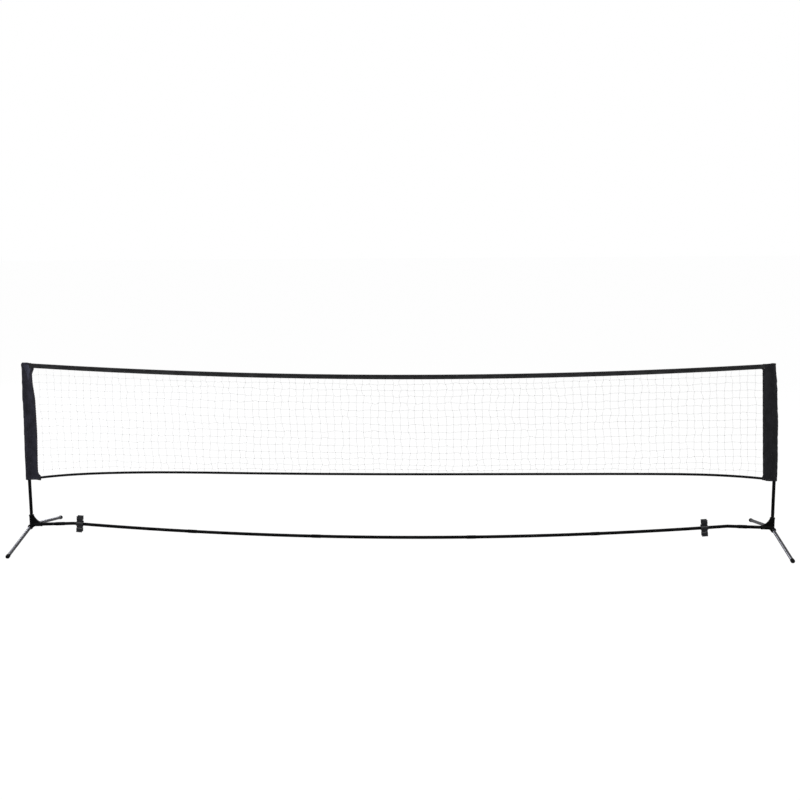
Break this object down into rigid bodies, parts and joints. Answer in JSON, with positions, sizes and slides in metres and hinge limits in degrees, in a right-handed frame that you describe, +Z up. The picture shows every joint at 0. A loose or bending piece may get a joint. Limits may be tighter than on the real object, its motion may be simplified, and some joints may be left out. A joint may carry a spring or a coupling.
{
  "type": "portable badminton net",
  "caption": "Badminton net on a free-standing frame: bowed push-fit base bar, corner hubs with splayed legs, and telescoping poles that hold the net by fabric sleeves.",
  "frame": {"origin": "on the ground under the middle of the stand", "axes": "+X along the net to the viewer's right, +Y to the back, +Z up; the front faces -Y"},
  "size_m": [5.0684, 1.0269, 1.2164],
  "materials": {
    "powder_coated_tube": "satin",
    "inner_pole_steel": "satin",
    "hub_plastic": "satin",
    "bush_plastic": "matte",
    "zinc_screw": "satin",
    "black_screw": "satin",
    "spring_steel": "satin",
    "button_steel": "satin",
    "cap_plastic": "satin",
    "leg_steel": "satin",
    "foot_rubber": "matte",
    "clip_plastic": "satin",
    "sleeve_fabric": "matte",
    "tape_fabric": "matte",
    "net_twine": "matte",
    "cord_nylon": "matte"
  },
  "bodies": {
    "base": {"base_tube_centre": "powder_coated_tube", "base_tube_inner_left": "powder_coated_tube", "base_tube_inner_right": "powder_coated_tube", "base_tube_outer_left": "powder_coated_tube", "base_tube_outer_right": "powder_coated_tube", "base_tube_end_left": "powder_coated_tube", "base_tube_end_right": "powder_coated_tube", "corner_hub_left": "hub_plastic", "hub_screw_bar_left": "black_screw", "hub_screw_pole_left": "black_screw", "lower_pole_left": "inner_pole_steel", "lower_pole_bush_left": "bush_plastic", "snap_spring_low_left": "spring_steel", "snap_spring_high_left": "spring_steel", "corner_hub_right": "hub_plastic", "hub_screw_bar_right": "black_screw", "hub_screw_pole_right": "black_screw", "lower_pole_right": "inner_pole_steel", "lower_pole_bush_right": "bush_plastic", "snap_spring_low_right": "spring_steel", "snap_spring_high_right": "spring_steel"},
    "snap_button_low_left": {"snap_button_low_left": "button_steel"},
    "snap_button_high_left": {"snap_button_high_left": "button_steel"},
    "upper_left": {"upper_pole_left": "powder_coated_tube", "pole_cap_left": "cap_plastic", "net_sleeve_left": "sleeve_fabric", "net_sleeve_right": "sleeve_fabric", "net_mesh": "net_twine", "net_top_tape": "tape_fabric", "net_bottom_tape": "tape_fabric", "headline_cord": "cord_nylon"},
    "leg_front_left": {"leg_tube_front_left": "leg_steel", "leg_cap_front_left": "foot_rubber"},
    "leg_back_left": {"leg_tube_back_left": "leg_steel", "leg_cap_back_left": "foot_rubber"},
    "clip_left": {"clip_body_left": "clip_plastic", "clip_screw_left": "zinc_screw", "clip_nut_left": "zinc_screw"},
    "snap_button_low_right": {"snap_button_low_right": "button_steel"},
    "snap_button_high_right": {"snap_button_high_right": "button_steel"},
    "upper_right": {"upper_pole_right": "powder_coated_tube", "pole_cap_right": "cap_plastic"},
    "leg_front_right": {"leg_tube_front_right": "leg_steel", "leg_cap_front_right": "foot_rubber"},
    "leg_back_right": {"leg_tube_back_right": "leg_steel", "leg_cap_back_right": "foot_rubber"},
    "clip_right": {"clip_body_right": "clip_plastic", "clip_screw_right": "zinc_screw", "clip_nut_right": "zinc_screw"}
  },
  "joints": [
    {"name": "height_left", "type": "slide", "parent": "base", "child": "upper_left", "axis": [0, 0, 1], "range_m": [0, 0.37]},
    {"name": "height_right", "type": "slide", "parent": "base", "child": "upper_right", "axis": [0, 0, 1], "range_m": [0, 0.37]},
    {"name": "press_low_left", "type": "slide", "parent": "base", "child": "snap_button_low_left", "axis": [-1, 0, 0], "range_m": [0, 0.0039], "stiffness_N_per_m": 800, "springref_m": -0.002, "deforming": ["snap_spring_low_left"]},
    {"name": "press_high_left", "type": "slide", "parent": "base", "child": "snap_button_high_left", "axis": [-1, 0, 0], "range_m": [0, 0.0015], "stiffness_N_per_m": 800, "springref_m": -0.002, "deforming": ["snap_spring_high_left"]},
    {"name": "press_low_right", "type": "slide", "parent": "base", "child": "snap_button_low_right", "axis": [-1, 0, 0], "range_m": [0, 0.0039], "stiffness_N_per_m": 800, "springref_m": -0.002, "deforming": ["snap_spring_low_right"]},
    {"name": "press_high_right", "type": "slide", "parent": "base", "child": "snap_button_high_right", "axis": [-1, 0, 0], "range_m": [0, 0.0015], "stiffness_N_per_m": 800, "springref_m": -0.002, "deforming": ["snap_spring_high_right"]},
    {"name": "pull_out_front_left", "type": "slide", "parent": "base", "child": "leg_front_left", "axis": [0.0327, -0.9869, -0.1578], "range_m": [0, 0.06]},
    {"name": "pull_out_back_left", "type": "slide", "parent": "base", "child": "leg_back_left", "axis": [0.0465, 0.9864, -0.1578], "range_m": [0, 0.06]},
    {"name": "pull_out_front_right", "type": "slide", "parent": "base", "child": "leg_front_right", "axis": [-0.0017, -0.9875, -0.1578], "range_m": [0, 0.06]},
    {"name": "pull_out_back_right", "type": "slide", "parent": "base", "child": "leg_back_right", "axis": [-0.019, 0.9873, -0.1578], "range_m": [0, 0.06]},
    {"name": "clip_turn_left", "type": "hinge", "parent": "base", "child": "clip_left", "pos_m": [-2.182, 0, 0.09805], "axis": [0.997, 0, -0.0779], "continuous": true},
    {"name": "clip_turn_right", "type": "hinge", "parent": "base", "child": "clip_right", "pos_m": [2.069, 0, 0.08945], "axis": [0.9973, 0, 0.0739], "continuous": true}
  ],
  "couplings": [
    {"joint": "height_right", "follows": "height_left", "ratio": 1}
  ]
}
